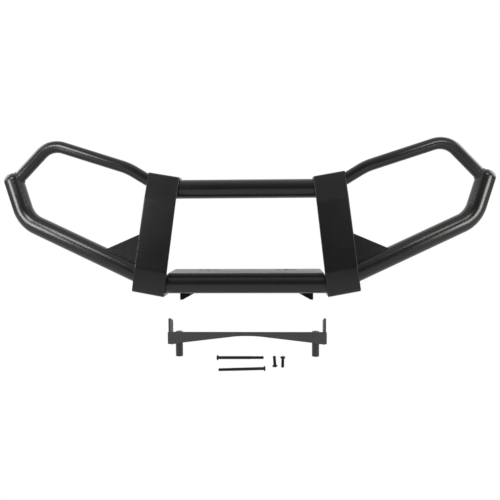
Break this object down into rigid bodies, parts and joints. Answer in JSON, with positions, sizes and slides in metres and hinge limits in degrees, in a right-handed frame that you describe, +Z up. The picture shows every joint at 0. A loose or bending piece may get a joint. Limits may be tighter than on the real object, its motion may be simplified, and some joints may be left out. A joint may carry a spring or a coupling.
{
  "type": "front grille guard",
  "caption": "Tubular front grille guard with side hoops, flat strap uprights and a light plate, laid out with its mounting bracket and button-head screws.",
  "frame": {"origin": "on the light plate's top face, on the guard's middle plane, straight above the axis of the lower tube's straight middle", "axes": "+X to the right seen from in front of the guard, +Y rearward towards the vehicle, +Z up"},
  "size_m": [1.3248, 0.1392, 0.6162],
  "materials": {
    "guard_powder_coat": "satin black powder coat",
    "bracket_coat": "fine textured dark grey powder coat",
    "black_oxide": "black oxide"
  },
  "bodies": {
    "guard": {"lower_main_tube": "guard_powder_coat", "upper_cross_tube": "guard_powder_coat", "hoop_tube_left": "guard_powder_coat", "hoop_tube_right": "guard_powder_coat", "tube_end_cap_left": "guard_powder_coat", "tube_end_cap_right": "guard_powder_coat", "upright_strap_left": "guard_powder_coat", "upright_strap_right": "guard_powder_coat", "light_plate": "guard_powder_coat", "wing_gusset_left": "guard_powder_coat", "wing_gusset_right": "guard_powder_coat", "mount_tab_left": "guard_powder_coat", "mount_tab_right": "guard_powder_coat", "threaded_boss_left": "guard_powder_coat", "threaded_boss_right": "guard_powder_coat"},
    "bracket": {"bracket_crossmember": "bracket_coat", "bracket_ear_left": "bracket_coat", "bracket_ear_right": "bracket_coat", "spacer_sleeve_left": "bracket_coat", "spacer_sleeve_right": "bracket_coat"},
    "long_bolt_upper": {"long_bolt_upper": "black_oxide"},
    "long_bolt_lower": {"long_bolt_lower": "black_oxide"},
    "short_bolt_left": {"short_bolt_left": "black_oxide"},
    "short_bolt_right": {"short_bolt_right": "black_oxide"}
  },
  "joints": [
    {"name": "bracket_fit", "type": "slide", "parent": "guard", "child": "bracket", "axis": [-0.0136, 0.2846, 0.9586], "range_m": [0, 0.1107]},
    {"name": "long_bolt_pick_upper", "type": "slide", "parent": "guard", "child": "long_bolt_upper", "axis": [0, -1, 0], "range_m": [0, 0.08]},
    {"name": "long_bolt_pick_lower", "type": "slide", "parent": "guard", "child": "long_bolt_lower", "axis": [0, -1, 0], "range_m": [0, 0.08]},
    {"name": "short_bolt_pick_left", "type": "slide", "parent": "guard", "child": "short_bolt_left", "axis": [0, -1, 0], "range_m": [0, 0.08]},
    {"name": "short_bolt_pick_right", "type": "slide", "parent": "guard", "child": "short_bolt_right", "axis": [0, -1, 0], "range_m": [0, 0.08]}
  ]
}
